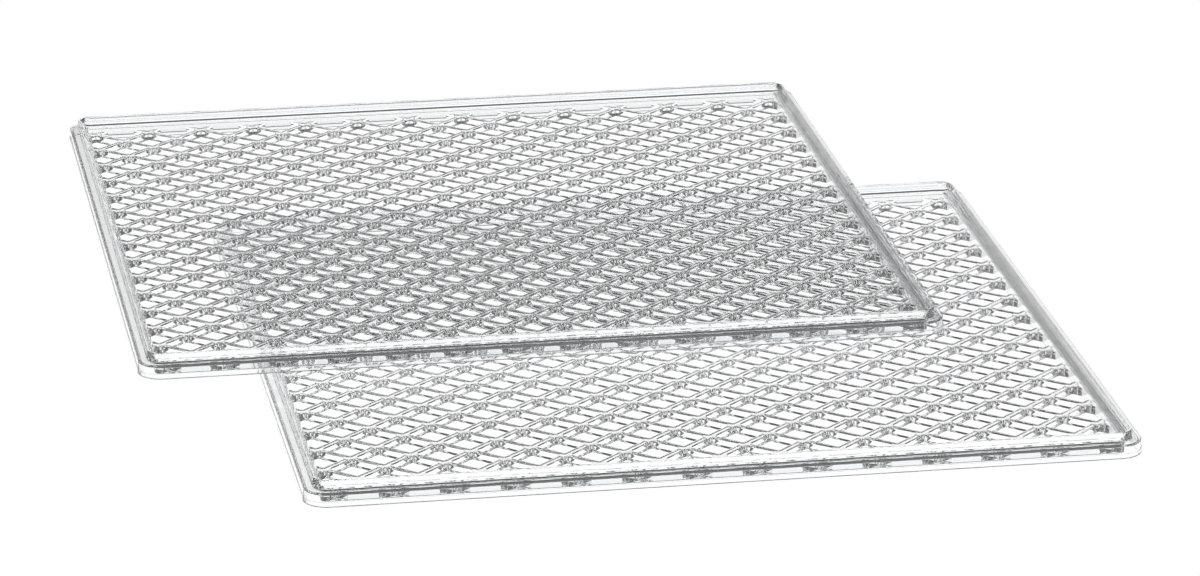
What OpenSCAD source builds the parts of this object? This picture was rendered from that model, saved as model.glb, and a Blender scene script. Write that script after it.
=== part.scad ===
// Two clear plastic drying trays, the upper one resting askew on the raised lip of the lower one.
// Each tray is a flat diamond lattice inside a stepped rim that is hollow underneath.
// Origin: middle of the pair's footprint, on the face the lower tray rests on.
// X is the width, left to right, Y the depth, front to back, and Z is up.

/* [Tray] */
// Outside width of a tray, left to right
tray_width = 380; // [300:1:460]
// Outside depth of a tray, front to back
tray_depth = 380; // [300:1:460]
// Radius of the corners inside the rim; the outside corners are this and the rim's width
inner_radius = 1.8; // [0.4:0.1:4]

/* [Rim] */
// Height from the resting face to the top of the lip
rim_height = 11; // [10.4:0.1:13]
// Height of the outer flange that steps down around the lip
flange_height = 6.8; // [6:0.1:7.6]
// Thickness of the flange and of the walls under it
rim_wall = 1.5; // [1.2:0.1:2.4]
// Distance from the inner wall out to the foot of the lip
lip_reach = 4.8; // [4.4:0.1:5.4]
// Width of the narrow flat on top of the lip
lip_flat = 1; // [0.8:0.1:1.6]
// Height at which the inner wall starts to lean outward
wall_break = 6.3; // [5.4:0.1:7.4]
// Overall width of the rim, inner wall to outer face
rim_width = 9.4; // [7.8:0.1:11.3]
// Height of the thicker foot band round the outer face
foot_height = 2.4; // [2:0.1:4]
// How far the foot band stands out past the face above it
foot_step = 0.4; // [0.2:0.05:0.8]

/* [Lattice] */
// Number of whole diamonds across the width
columns = 13; // [9:1:14]
// Number of whole diamonds across the depth
rows = 14; // [9:1:15]
// Width of one lattice bar
bar_width = 4; // [2.6:0.1:4.4]
// Height of the lattice bars above the resting face
bar_height = 3.8; // [3:0.1:5]
// Gap between the outermost crossings and the inner wall
end_gap = 3.8; // [2.8:0.1:5]

/* [Stack] */
// How far the upper tray is set towards the left of the lower one
shift_left = 58; // [0:1:90]
// How far the upper tray is set back from the lower one
shift_back = 147; // [0:1:160]

/* [Hidden] */
$fn = 64;
half_turn = 180;
quarter_turn = 90;
cut_margin = 1;
inner_width = tray_width - 2 * rim_width;
inner_depth = tray_depth - 2 * rim_width;
corner_radius = inner_radius + rim_width;
face_reach = rim_width - foot_step;
lean_out = (lip_reach - lip_flat) / 2;
lean_height = wall_break + (rim_height - wall_break) * 0.66;
channel_roof = flange_height - rim_wall;
pitch_x = (inner_width - 2 * end_gap) / columns;
pitch_y = (inner_depth - 2 * end_gap) / rows;
bar_angle = atan2(pitch_y, pitch_x);
hole_half_x = pitch_x / 2 - bar_width / (2 * sin(bar_angle));
hole_half_y = pitch_y / 2 - bar_width / (2 * cos(bar_angle));
lower_clear = [0.85, 0.87, 0.88, 0.45];
upper_clear = [0.92, 0.94, 0.95, 0.4];

// Section of the rim: x is the distance outward from the inner wall, y is the height.
module rim_section() {
  polygon([
    [0, 0],
    [rim_wall, 0],
    [rim_wall, channel_roof],
    [face_reach - rim_wall, channel_roof],
    [face_reach - rim_wall, 0],
    [rim_width, 0],
    [rim_width, foot_height],
    [face_reach, foot_height],
    [face_reach, flange_height],
    [lip_reach, flange_height],
    [lip_reach, rim_height],
    [lip_reach - lip_flat, rim_height],
    [lean_out, lean_height],
    [0, wall_break]
  ]);
}

// Rounded corner that turns a quarter circle to the left from the given direction.
module rim_corner(from_angle) {
  rotate([0, 0, from_angle])
    rotate_extrude(angle = quarter_turn)
      translate([inner_radius, 0])
        rim_section();
}

// Prism that bounds one side of the rim by the mitre planes through its corner centres.
module mitre_bound(straight, centre_y) {
  reach = corner_radius + cut_margin;
  translate([0, 0, -cut_margin])
    linear_extrude(height = rim_height + 2 * cut_margin)
      polygon([
        [-straight / 2, centre_y],
        [straight / 2, centre_y],
        [straight / 2 + reach, centre_y + reach],
        [-straight / 2 - reach, centre_y + reach]
      ]);
}

// One side of the rim facing +Y, mitred to its neighbours at both corners.
module rim_side(opening_length, distance) {
  straight = opening_length - 2 * inner_radius;
  centre_y = distance - inner_radius;
  intersection() {
    union() {
      translate([0, distance, 0])
        rotate([quarter_turn, 0, quarter_turn])
          linear_extrude(height = straight, center = true)
            rim_section();
      translate([straight / 2, centre_y, 0])
        rim_corner(0);
      translate([-straight / 2, centre_y, 0])
        rim_corner(quarter_turn);
    }
    mitre_bound(straight, centre_y);
  }
}

// Upright prism that cuts one diamond opening at the given centre.
module diamond_cut(x, y) {
  translate([x, y, -cut_margin])
    linear_extrude(height = bar_height + 2 * cut_margin)
      polygon([[hole_half_x, 0], [0, hole_half_y], [-hole_half_x, 0], [0, -hole_half_y]]);
}

// Plate that fills the rim before the diamonds are cut from it.
module lattice_blank() {
  reach_x = inner_width / 2 - inner_radius;
  reach_y = inner_depth / 2 - inner_radius;
  translate([-inner_width / 2, -reach_y, 0])
    cube([inner_width, 2 * reach_y, bar_height]);
  translate([-reach_x, -inner_depth / 2, 0])
    cube([2 * reach_x, inner_depth, bar_height]);
  for (sx = [-1, 1], sy = [-1, 1])
    translate([sx * reach_x, sy * reach_y, 0])
      cylinder(r = inner_radius, h = bar_height);
}

// Flat diamond lattice, open right up to the rim between the end crossings.
module lattice() {
  difference() {
    lattice_blank();
    for (c = [0 : columns - 1], r = [0 : rows])
      diamond_cut((c + 0.5 - columns / 2) * pitch_x, (r - rows / 2) * pitch_y);
    for (c = [0 : columns], r = [0 : rows - 1])
      diamond_cut((c - columns / 2) * pitch_x, (r + 0.5 - rows / 2) * pitch_y);
  }
}

module rim_front() {
  rotate([0, 0, half_turn])
    rim_side(inner_width, inner_depth / 2);
}

module rim_back() {
  rim_side(inner_width, inner_depth / 2);
}

module rim_left() {
  rotate([0, 0, quarter_turn])
    rim_side(inner_depth, inner_width / 2);
}

module rim_right() {
  rotate([0, 0, -quarter_turn])
    rim_side(inner_depth, inner_width / 2);
}

// The lower tray stands right and forward of the origin by half of the offset between the trays.
module place_lower() {
  translate([shift_left / 2, -shift_back / 2, 0])
    children();
}

// Where the upper tray sits: its underside lies on the flat of the lower lip.
module place_upper() {
  translate([-shift_left / 2, shift_back / 2, rim_height])
    children();
}

module lower_rim_front() {
  color(lower_clear) place_lower() rim_front();
}

module lower_rim_back() {
  color(lower_clear) place_lower() rim_back();
}

module lower_rim_left() {
  color(lower_clear) place_lower() rim_left();
}

module lower_rim_right() {
  color(lower_clear) place_lower() rim_right();
}

module lower_lattice() {
  color(lower_clear) place_lower() lattice();
}

module upper_rim_front() {
  color(upper_clear) place_upper() rim_front();
}

module upper_rim_back() {
  color(upper_clear) place_upper() rim_back();
}

module upper_rim_left() {
  color(upper_clear) place_upper() rim_left();
}

module upper_rim_right() {
  color(upper_clear) place_upper() rim_right();
}

module upper_lattice() {
  color(upper_clear) place_upper() lattice();
}

lower_rim_front();
lower_rim_back();
lower_rim_left();
lower_rim_right();
lower_lattice();
upper_rim_front();
upper_rim_back();
upper_rim_left();
upper_rim_right();
upper_lattice();
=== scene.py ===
"""Looks for a pair of clear plastic drying trays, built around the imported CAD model."""

import math

import bmesh
import bpy
from mathutils import Matrix, Vector


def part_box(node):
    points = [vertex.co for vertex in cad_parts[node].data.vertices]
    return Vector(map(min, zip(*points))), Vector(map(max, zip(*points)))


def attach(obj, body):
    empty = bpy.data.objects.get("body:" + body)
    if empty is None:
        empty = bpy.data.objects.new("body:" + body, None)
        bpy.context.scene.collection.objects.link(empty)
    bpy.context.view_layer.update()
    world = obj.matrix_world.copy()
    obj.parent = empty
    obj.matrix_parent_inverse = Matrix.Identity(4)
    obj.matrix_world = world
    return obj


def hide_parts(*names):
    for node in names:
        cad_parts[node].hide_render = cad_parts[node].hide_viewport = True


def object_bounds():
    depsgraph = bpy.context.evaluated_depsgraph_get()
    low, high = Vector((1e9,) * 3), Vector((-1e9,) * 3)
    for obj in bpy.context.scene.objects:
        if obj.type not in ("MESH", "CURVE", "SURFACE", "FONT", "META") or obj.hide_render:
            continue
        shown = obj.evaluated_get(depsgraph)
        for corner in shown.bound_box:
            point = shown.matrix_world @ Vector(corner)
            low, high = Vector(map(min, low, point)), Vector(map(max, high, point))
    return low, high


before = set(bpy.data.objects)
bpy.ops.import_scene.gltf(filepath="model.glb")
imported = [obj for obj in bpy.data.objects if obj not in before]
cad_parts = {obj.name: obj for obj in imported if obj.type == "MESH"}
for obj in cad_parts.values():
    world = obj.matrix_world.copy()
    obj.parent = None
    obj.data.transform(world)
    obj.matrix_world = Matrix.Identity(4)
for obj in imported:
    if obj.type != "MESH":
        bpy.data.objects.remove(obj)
cad_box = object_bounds()

# ---------------------------------------------------------------- sizes in metres, and looks

MM = 0.001
COLUMNS = 13
ROWS = 14
BAR_WIDTH = 4.0 * MM
END_GAP = 3.8 * MM
HOLE_FILLET = 0.9 * MM
CROWN_REACH = 1.0 * MM
CROWN_DROP = 0.65 * MM
BAR_EDGE_FOOT = 0.35 * MM
CORNER_RADIUS = 11.2 * MM
RIM_WALL = 1.5 * MM
FLANGE_HEIGHT = 6.8 * MM
LIP_REACH = 4.8 * MM
LIP_FLAT = 1.0 * MM
WALL_BREAK = 6.3 * MM
LEAN_SHARE = 0.66
FOOT_HEIGHT = 2.4 * MM
FOOT_STEP = 0.4 * MM
WALL_BITE = 0.7 * MM
SOFT_RADIUS = 0.35 * MM
FINE_RADIUS = 0.25 * MM
CREASE_RADIUS = 0.1 * MM
MERGE_DISTANCE = 0.01 * MM
TIP_SHARE = 0.24
SMOOTH_BELOW = math.radians(28)

PLASTIC_TINT = (0.97, 0.975, 0.98, 1)
PLASTIC_IOR = 1.49
PLASTIC_CLEARNESS = 0.992
POLISH_SCALE = 60
POLISH_DETAIL = 4
POLISH_ROUGHNESS = (0.01, 0.03)
RIPPLE_SCALE = 260
RIPPLE_DETAIL = 2
RIPPLE_STRENGTH = 0.05
RIPPLE_DEPTH = 0.2 * MM

FLOOR_SIZE = 30
GLOW_DIRECTION = (0.15, 0.15, -0.97)
GLOW_FALLOFF = (
    (0.0, 0.04),
    (0.3, 0.07),
    (0.47, 0.17),
    (0.57, 0.48),
    (0.655, 0.98),
    (0.8, 1.2),
)
FLOOR_GLOW = 1.0
BOUNCES = 24

CAMERA_AZIMUTH = math.radians(9.76)
CAMERA_ELEVATION = math.radians(18.98)
CAMERA_DISTANCE = 2.8775
CAMERA_LENS = 180
CAMERA_SENSOR = 36
AIM = Vector((0.0114, -0.0228, 0.011))

FILLET_STEPS = 4
EDGE_STEPS = 4
CORNER_STEPS = 12


# ---------------------------------------------------------------- geometry helpers

def rounded_outline(corners):
    """Closed outline from (x, y, radius) corners, each rounded by an arc of that radius."""
    points = []
    count = len(corners)
    for k, (x, y, radius) in enumerate(corners):
        here = Vector((x, y))
        before = (Vector(corners[k - 1][:2]) - here).normalized()
        after = (Vector(corners[(k + 1) % count][:2]) - here).normalized()
        half_angle = before.angle(after) / 2
        bisector = (before + after).normalized()
        centre = here + bisector * (radius / math.sin(half_angle))
        start = here + before * (radius / math.tan(half_angle)) - centre
        end = here + after * (radius / math.tan(half_angle)) - centre
        turn = start.angle_signed(end)
        for step in range(EDGE_STEPS + 1):
            arm = start.copy()
            arm.rotate(Matrix.Rotation(-turn * step / EDGE_STEPS, 2))
            points.append(centre + arm)
    return points


def rim_profile(rim_width, rim_height):
    """Rim section: x is the distance out from the inner wall, y the height."""
    face = rim_width - FOOT_STEP
    roof = FLANGE_HEIGHT - RIM_WALL
    lean_out = (LIP_REACH - LIP_FLAT) / 2
    lean_height = WALL_BREAK + (rim_height - WALL_BREAK) * LEAN_SHARE
    return rounded_outline([
        (0, 0, FINE_RADIUS),
        (RIM_WALL, 0, FINE_RADIUS),
        (RIM_WALL, roof, SOFT_RADIUS),
        (face - RIM_WALL, roof, SOFT_RADIUS),
        (face - RIM_WALL, 0, FINE_RADIUS),
        (rim_width, 0, SOFT_RADIUS),
        (rim_width, FOOT_HEIGHT, CREASE_RADIUS),
        (face, FOOT_HEIGHT, CREASE_RADIUS),
        (face, FLANGE_HEIGHT, SOFT_RADIUS),
        (LIP_REACH, FLANGE_HEIGHT, FINE_RADIUS),
        (LIP_REACH, rim_height, FINE_RADIUS),
        (LIP_REACH - LIP_FLAT, rim_height, FINE_RADIUS),
        (lean_out, lean_height, SOFT_RADIUS),
        (0, WALL_BREAK, SOFT_RADIUS),
    ])


def sweep_rim(profile, inner_x, inner_y, inner_radius):
    """Ring of the profile carried round a rounded rectangle, standing on height 0."""
    bm = bmesh.new()
    path = []
    for quarter in range(4):
        sign_x = (1, -1, -1, 1)[quarter]
        sign_y = (1, 1, -1, -1)[quarter]
        centre = Vector((sign_x * (inner_x / 2 - inner_radius),
                         sign_y * (inner_y / 2 - inner_radius)))
        for step in range(CORNER_STEPS + 1):
            angle = math.pi / 2 * (quarter + step / CORNER_STEPS)
            path.append((centre, Vector((math.cos(angle), math.sin(angle)))))
    rings = []
    for centre, out in path:
        ring = []
        for p in profile:
            spot = centre + out * (inner_radius + p.x)
            ring.append(bm.verts.new((spot.x, spot.y, p.y)))
        rings.append(ring)
    for k, ring in enumerate(rings):
        following = rings[(k + 1) % len(rings)]
        for i in range(len(ring)):
            j = (i + 1) % len(ring)
            bm.faces.new((ring[i], following[i], following[j], ring[j]))
    bmesh.ops.recalc_face_normals(bm, faces=bm.faces)
    return bm


def hole_loop(half_x, half_y, fillet, spread):
    """Diamond opening with rounded corners, let out by spread all round."""
    normal = math.atan2(half_x, half_y)
    arcs = [
        (Vector((half_x - fillet / math.cos(normal), 0)), -normal, normal),
        (Vector((0, half_y - fillet / math.sin(normal))), normal, math.pi - normal),
        (Vector((fillet / math.cos(normal) - half_x, 0)), math.pi - normal, math.pi + normal),
        (Vector((0, fillet / math.sin(normal) - half_y)), math.pi + normal, 2 * math.pi - normal),
    ]
    loop = []
    for centre, first, last in arcs:
        for step in range(FILLET_STEPS + 1):
            angle = first + (last - first) * step / FILLET_STEPS
            loop.append(centre + Vector((math.cos(angle), math.sin(angle))) * (fillet + spread))
    return loop


def tile_border(pitch_x, pitch_y):
    """Points round a whole diamond, matched one to one with the hole loop inside it."""
    tips = [
        Vector((pitch_x / 2, 0)),
        Vector((0, pitch_y / 2)),
        Vector((-pitch_x / 2, 0)),
        Vector((0, -pitch_y / 2)),
    ]
    half = FILLET_STEPS // 2
    border = []
    for k, tip in enumerate(tips):
        before, after = tips[k - 1], tips[(k + 1) % 4]
        for step in range(-half, half + 1):
            share = TIP_SHARE * abs(step) / half
            border.append(tip.lerp(before if step < 0 else after, share))
    return border


def lattice_mesh(inner_x, inner_y, height):
    """Plate of rounded bars, closed all over, a little larger than the opening it fills."""
    pitch_x = (inner_x - 2 * END_GAP) / COLUMNS
    pitch_y = (inner_y - 2 * END_GAP) / ROWS
    bar_angle = math.atan2(pitch_y, pitch_x)
    half_x = pitch_x / 2 - BAR_WIDTH / (2 * math.sin(bar_angle))
    half_y = pitch_y / 2 - BAR_WIDTH / (2 * math.cos(bar_angle))
    turns = [math.pi / 2 * step / EDGE_STEPS for step in range(EDGE_STEPS + 1)]
    levels = [(BAR_EDGE_FOOT * (1 - math.sin(turn)), BAR_EDGE_FOOT * (1 - math.cos(turn)))
              for turn in turns]
    levels += [(height - CROWN_DROP * (1 - math.sin(turn)), CROWN_REACH * (1 - math.cos(turn)))
               for turn in turns]
    loops = [[(p, z) for p in hole_loop(half_x, half_y, HOLE_FILLET, spread)]
             for z, spread in levels]
    border = tile_border(pitch_x, pitch_y)
    centres = [((c + 0.5 - COLUMNS / 2) * pitch_x, (r - ROWS / 2) * pitch_y)
               for c in range(-1, COLUMNS + 1) for r in range(ROWS + 1)]
    centres += [((c - COLUMNS / 2) * pitch_x, (r + 0.5 - ROWS / 2) * pitch_y)
                for c in range(COLUMNS + 1) for r in range(-1, ROWS + 1)]
    bm = bmesh.new()
    for cx, cy in centres:
        foot = [bm.verts.new((cx + p.x, cy + p.y, 0)) for p in border]
        head = [bm.verts.new((cx + p.x, cy + p.y, height)) for p in border]
        rings = [foot]
        rings += [[bm.verts.new((cx + p.x, cy + p.y, z)) for p, z in loop] for loop in loops]
        rings.append(head)
        for lower, upper in zip(rings, rings[1:]):
            for i in range(len(border)):
                j = (i + 1) % len(border)
                bm.faces.new((lower[i], upper[i], upper[j], lower[j]))
    bmesh.ops.remove_doubles(bm, verts=bm.verts, dist=MERGE_DISTANCE)
    open_edges = [e for e in bm.edges if len(e.link_faces) == 1]
    bmesh.ops.bridge_loops(bm, edges=open_edges)
    bmesh.ops.recalc_face_normals(bm, faces=bm.faces)
    return bm


def as_object(bm, name):
    """Object made from the bmesh, which is freed."""
    mesh = bpy.data.meshes.new(name)
    bm.to_mesh(mesh)
    bm.free()
    obj = bpy.data.objects.new(name, mesh)
    bpy.context.scene.collection.objects.link(obj)
    return obj


def combine(obj, other, operation):
    """Applies a boolean with the other object, which is then removed."""
    modifier = obj.modifiers.new(operation.lower(), "BOOLEAN")
    modifier.operation = operation
    modifier.solver = "MANIFOLD"
    modifier.object = other
    bpy.context.view_layer.update()
    settled = obj.evaluated_get(bpy.context.evaluated_depsgraph_get())
    solved = bpy.data.meshes.new_from_object(settled)
    obj.modifiers.clear()
    obj.data = solved
    bpy.data.objects.remove(other)


def box_object(low, high):
    """Box between two corners, used to trim the lattice."""
    bm = bmesh.new()
    bmesh.ops.create_cube(bm, size=1)
    middle, span = (low + high) / 2, high - low
    for v in bm.verts:
        v.co = Vector((
            v.co.x * span.x + middle.x,
            v.co.y * span.y + middle.y,
            v.co.z * span.z + middle.z,
        ))
    return as_object(bm, "cutter")


# ---------------------------------------------------------------- materials

def clear_plastic():
    """Clear moulded plastic with faint flow ripples and a polish that varies a little."""
    material = bpy.data.materials.new("clear_moulded_plastic")
    material.use_nodes = True
    tree = material.node_tree
    shader = tree.nodes["Principled BSDF"]
    shader.inputs["Base Color"].default_value = PLASTIC_TINT
    shader.inputs["IOR"].default_value = PLASTIC_IOR
    shader.inputs["Transmission Weight"].default_value = PLASTIC_CLEARNESS
    place = tree.nodes.new("ShaderNodeTexCoord")
    polish = tree.nodes.new("ShaderNodeTexNoise")
    polish.inputs["Scale"].default_value = POLISH_SCALE
    polish.inputs["Detail"].default_value = POLISH_DETAIL
    polish_range = tree.nodes.new("ShaderNodeMapRange")
    polish_range.inputs["To Min"].default_value = POLISH_ROUGHNESS[0]
    polish_range.inputs["To Max"].default_value = POLISH_ROUGHNESS[1]
    tree.links.new(place.outputs["Object"], polish.inputs["Vector"])
    tree.links.new(polish.outputs["Fac"], polish_range.inputs["Value"])
    tree.links.new(polish_range.outputs["Result"], shader.inputs["Roughness"])
    ripple = tree.nodes.new("ShaderNodeTexNoise")
    ripple.inputs["Scale"].default_value = RIPPLE_SCALE
    ripple.inputs["Detail"].default_value = RIPPLE_DETAIL
    bump = tree.nodes.new("ShaderNodeBump")
    bump.inputs["Strength"].default_value = RIPPLE_STRENGTH
    bump.inputs["Distance"].default_value = RIPPLE_DEPTH
    tree.links.new(place.outputs["Object"], ripple.inputs["Vector"])
    tree.links.new(ripple.outputs["Fac"], bump.inputs["Height"])
    tree.links.new(bump.outputs["Normal"], shader.inputs["Normal"])
    return material


def white_floor():
    """Floor that is evenly white to the camera, and lets light bent by the plastic pass."""
    material = bpy.data.materials.new("floor_white")
    material.use_nodes = True
    tree = material.node_tree
    tree.nodes.remove(tree.nodes["Principled BSDF"])
    glow = tree.nodes.new("ShaderNodeEmission")
    glow.inputs["Strength"].default_value = FLOOR_GLOW
    clear = tree.nodes.new("ShaderNodeBsdfTransparent")
    seen = tree.nodes.new("ShaderNodeLightPath")
    choice = tree.nodes.new("ShaderNodeMixShader")
    tree.links.new(seen.outputs["Is Camera Ray"], choice.inputs["Fac"])
    tree.links.new(clear.outputs["BSDF"], choice.inputs[1])
    tree.links.new(glow.outputs["Emission"], choice.inputs[2])
    tree.links.new(choice.outputs["Shader"], tree.nodes["Material Output"].inputs["Surface"])
    return material


# ---------------------------------------------------------------- trays

def build_tray(level, material):
    """One tray as a single closed mesh, which stands for its five CAD nodes."""
    low_lattice, high_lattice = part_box(level + "_lattice")
    low_left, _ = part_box(level + "_rim_left")
    _, high_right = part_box(level + "_rim_right")
    inner = high_lattice - low_lattice
    middle = (low_lattice + high_lattice) / 2
    base = low_lattice.z
    rim_width = low_lattice.x - low_left.x
    rim_height = high_right.z - low_left.z
    profile = rim_profile(rim_width, rim_height)
    rim = sweep_rim(profile, inner.x, inner.y, CORNER_RADIUS - rim_width)
    tray = as_object(rim, level + "_tray")
    lattice = as_object(lattice_mesh(inner.x, inner.y, inner.z), "lattice")
    reach = Vector((inner.x / 2 + WALL_BITE, inner.y / 2 + WALL_BITE, 0))
    lift = Vector((0, 0, inner.z))
    combine(lattice, box_object(-reach - lift, reach + lift * 2), "INTERSECT")
    combine(tray, lattice, "UNION")
    tray.data.transform(Matrix.Translation((middle.x, middle.y, base)))
    tray.data.materials.clear()
    tray.data.materials.append(material)
    tray.data.set_sharp_from_angle(angle=SMOOTH_BELOW)
    for polygon in tray.data.polygons:
        polygon.use_smooth = True
    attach(tray, level + "_tray")
    parts = ("_rim_front", "_rim_back", "_rim_left", "_rim_right", "_lattice")
    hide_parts(*[level + part for part in parts])


plastic = clear_plastic()
for level in ("lower", "upper"):
    build_tray(level, plastic)

# ---------------------------------------------------------------- floor, light and camera

bpy.ops.mesh.primitive_plane_add(size=FLOOR_SIZE, location=(0, 0, cad_box[0][2]))
floor = bpy.context.object
floor.name = "floor"
floor.data.materials.append(white_floor())

# The studio glows from below the horizon, and is brightest towards GLOW_DIRECTION.
world = bpy.data.worlds.new("studio")
bpy.context.scene.world = world
world.use_nodes = True
studio = world.node_tree
direction = studio.nodes.new("ShaderNodeTexCoord")
toward_glow = studio.nodes.new("ShaderNodeVectorMath")
toward_glow.operation = "DOT_PRODUCT"
toward_glow.inputs[1].default_value = Vector(GLOW_DIRECTION).normalized()
share = studio.nodes.new("ShaderNodeMapRange")
share.inputs["From Min"].default_value = -1
falloff = studio.nodes.new("ShaderNodeValToRGB")
falloff.color_ramp.interpolation = "EASE"
while len(falloff.color_ramp.elements) < len(GLOW_FALLOFF):
    falloff.color_ramp.elements.new(1)
for element, (position, glow) in zip(falloff.color_ramp.elements, GLOW_FALLOFF):
    element.position = position
    element.color = (glow, glow, glow, 1)
studio.links.new(direction.outputs["Generated"], toward_glow.inputs[0])
studio.links.new(toward_glow.outputs["Value"], share.inputs["Value"])
studio.links.new(share.outputs["Result"], falloff.inputs["Fac"])
studio.links.new(falloff.outputs["Color"], studio.nodes["Background"].inputs["Color"])
bpy.context.scene.view_settings.view_transform = "Standard"
bpy.context.scene.cycles.max_bounces = BOUNCES
bpy.context.scene.cycles.transmission_bounces = BOUNCES
bpy.context.scene.cycles.glossy_bounces = BOUNCES
bpy.context.scene.cycles.diffuse_bounces = BOUNCES

camera_data = bpy.data.cameras.new("camera")
camera_data.lens = CAMERA_LENS
camera_data.sensor_width = CAMERA_SENSOR
camera = bpy.data.objects.new("camera", camera_data)
bpy.context.scene.collection.objects.link(camera)
forward = Vector((
    math.sin(CAMERA_AZIMUTH) * math.cos(CAMERA_ELEVATION),
    math.cos(CAMERA_AZIMUTH) * math.cos(CAMERA_ELEVATION),
    -math.sin(CAMERA_ELEVATION),
))
camera.location = AIM - forward * CAMERA_DISTANCE
camera.rotation_euler = forward.to_track_quat("-Z", "Y").to_euler()
bpy.context.scene.camera = camera
